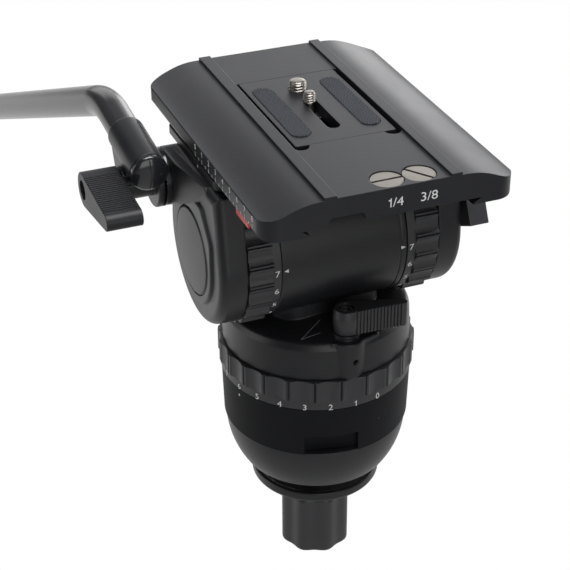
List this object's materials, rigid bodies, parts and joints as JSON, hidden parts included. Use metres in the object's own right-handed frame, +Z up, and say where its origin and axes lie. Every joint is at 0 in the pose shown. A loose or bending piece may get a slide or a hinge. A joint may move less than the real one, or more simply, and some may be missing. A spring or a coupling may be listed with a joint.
{
  "type": "fluid video head",
  "caption": "Fluid pan and tilt head for a video tripod: half-ball base, drag rings, lock levers, sliding camera plate with screws, and a bent pan handle on a toothed rosette.",
  "frame": {"origin": "on the pan axis, in the plane of the bowl's rim, where the half ball meets the drum", "axes": "+Z up along the pan axis, +Y to the rear, where the handle points, +X to the right along the tilt axis"},
  "size_m": [0.2187, 0.6091, 0.2783],
  "materials": {
    "satin_black": "cast and machined alloy under a fine satin black coat",
    "anodised_black": "bead-blasted alloy, black anodised, soft grey sheen",
    "moulded_black": "moulded black plastic with a fine grain",
    "pad_rubber": "dark blue-grey rubber with a fine crossed texture",
    "nickel": "turned and nickel plated",
    "steel": "turned steel",
    "bronze": "turned bearing bronze",
    "red_plastic": "smooth red plastic",
    "level_glass": "clear vial over green fluid"
  },
  "bodies": {
    "base": {"half_ball": "satin_black", "base_drum": "satin_black", "base_screw_1": "steel", "base_screw_2": "steel", "base_screw_3": "steel", "tie_rod": "steel", "pan_axle": "steel", "pan_thrust_bearing": "steel", "pan_hub_bearing": "steel", "pan_damper_cup": "anodised_black"},
    "tie_cup": {"tie_down_cup": "satin_black"},
    "tie_knob": {"tie_down_knob": "moulded_black"},
    "pan_drag": {"pan_drag_ring": "moulded_black"},
    "pan": {"pan_housing": "satin_black", "pan_damper_rotor": "bronze", "boss_set_screw": "steel", "level_cup": "anodised_black", "level_vial": "level_glass", "tilt_damper": "anodised_black", "counterbalance_drum": "anodised_black", "counterbalance_spring": "steel", "left_tilt_bushing": "bronze", "right_tilt_bushing": "bronze"},
    "pan_lock": {"pan_lock_lever": "moulded_black", "pan_lock_screw": "steel"},
    "tilt_lock": {"tilt_lock_lever": "moulded_black", "tilt_lock_screw": "steel"},
    "tilt_drag": {"tilt_drag_ring": "moulded_black"},
    "counterbalance": {"counterbalance_ring": "moulded_black"},
    "tilt": {"left_ear": "satin_black", "right_ear": "satin_black", "left_ear_disc": "anodised_black", "right_ear_disc": "anodised_black", "left_axle_bolt": "steel", "right_axle_bolt": "steel", "tilt_axle": "steel", "platform": "satin_black", "platform_screw_1": "steel", "platform_screw_2": "steel", "platform_screw_3": "steel", "platform_screw_4": "steel", "handle_rosette": "satin_black", "plate_lock_pin": "steel"},
    "plate_lock": {"plate_lock_lever": "moulded_black"},
    "plate_release": {"plate_release_button": "red_plastic"},
    "plate": {"sliding_plate": "anodised_black", "camera_plate": "anodised_black", "left_pad": "pad_rubber", "right_pad": "pad_rubber", "spare_quarter_inch_screw": "nickel", "spare_three_eighths_screw": "nickel"},
    "quarter_carrier": {"quarter_inch_washer": "steel"},
    "quarter_screw": {"quarter_inch_screw": "nickel"},
    "three_eighths": {"three_eighths_screw": "nickel"},
    "clamp": {"handle_clamp": "satin_black"},
    "knob": {"clamp_knob": "moulded_black", "clamp_screw": "steel"},
    "handle": {"handle_bar": "satin_black", "handle_grip": "pad_rubber", "handle_front_cap": "moulded_black"}
  },
  "joints": [
    {"name": "pan", "type": "hinge", "parent": "base", "child": "pan", "pos_m": [0, 0, 0.06], "axis": [0, 0, 1], "continuous": true},
    {"name": "pan_drag", "type": "hinge", "parent": "base", "child": "pan_drag", "pos_m": [0, 0, 0.04], "axis": [0, 0, 1], "range_deg": [-90, 15]},
    {"name": "tie_down", "type": "slide", "parent": "base", "child": "tie_cup", "axis": [0, 0, 1], "range_m": [-0.009, 0.009]},
    {"name": "tie_knob_turn", "type": "hinge", "parent": "tie_cup", "child": "tie_knob", "pos_m": [0, 0, -0.07], "axis": [0, 0, 1], "range_deg": [-1800, 1800]},
    {"name": "pan_lock", "type": "hinge", "parent": "pan", "child": "pan_lock", "pos_m": [-0.0008, -0.0423, 0.08], "axis": [0, 0, 1], "range_deg": [-90, 5]},
    {"name": "tilt_lock", "type": "hinge", "parent": "pan", "child": "tilt_lock", "pos_m": [0.0072, 0.045, 0.092], "axis": [0, 1, 0], "range_deg": [-20, 40]},
    {"name": "tilt_drag", "type": "hinge", "parent": "pan", "child": "tilt_drag", "pos_m": [-0.044, 0, 0.1127], "axis": [1, 0, 0], "range_deg": [-105, 0]},
    {"name": "counterbalance_select", "type": "hinge", "parent": "pan", "child": "counterbalance", "pos_m": [0.042, 0, 0.1127], "axis": [1, 0, 0], "range_deg": [-105, 0]},
    {"name": "tilt", "type": "hinge", "parent": "pan", "child": "tilt", "pos_m": [0, 0, 0.1127], "axis": [1, 0, 0], "range_deg": [-65, 70]},
    {"name": "plate_lock", "type": "hinge", "parent": "tilt", "child": "plate_lock", "pos_m": [0.0728, -0.021, 0.1485], "axis": [1, 0, 0], "range_deg": [-90, 0]},
    {"name": "plate_release", "type": "slide", "parent": "tilt", "child": "plate_release", "axis": [1, 0, 0], "range_m": [0, 0.0025], "stiffness_N_per_m": 600},
    {"name": "plate_slide", "type": "slide", "parent": "tilt", "child": "plate", "axis": [0, 1, 0], "range_m": [-0.04, 0.04]},
    {"name": "quarter_slide", "type": "slide", "parent": "plate", "child": "quarter_carrier", "axis": [0, 1, 0], "range_m": [-0.03, 0]},
    {"name": "quarter_turn", "type": "hinge", "parent": "quarter_carrier", "child": "quarter_screw", "pos_m": [0, 0.0104, 0.175], "axis": [0, 0, 1], "continuous": true},
    {"name": "three_eighths_turn", "type": "hinge", "parent": "plate", "child": "three_eighths", "pos_m": [0, 0.0265, 0.175], "axis": [0, 0, 1], "continuous": true},
    {"name": "handle_angle", "type": "hinge", "parent": "tilt", "child": "clamp", "pos_m": [-0.0752, 0.034, 0.1388], "axis": [1, 0, 0], "range_deg": [-60, 90]},
    {"name": "handle_turn", "type": "hinge", "parent": "clamp", "child": "handle", "pos_m": [-0.0853, 0.0145, 0.1533], "axis": [0, 0.995, 0.1004], "range_deg": [-10, 170]},
    {"name": "knob_turn", "type": "hinge", "parent": "clamp", "child": "knob", "pos_m": [-0.1, 0.034, 0.1388], "axis": [1, 0, 0], "continuous": true}
  ],
  "couplings": [
    {"joint": "tie_down", "follows": "tie_knob_turn", "m_per_rad": 0.00027852}
  ]
}
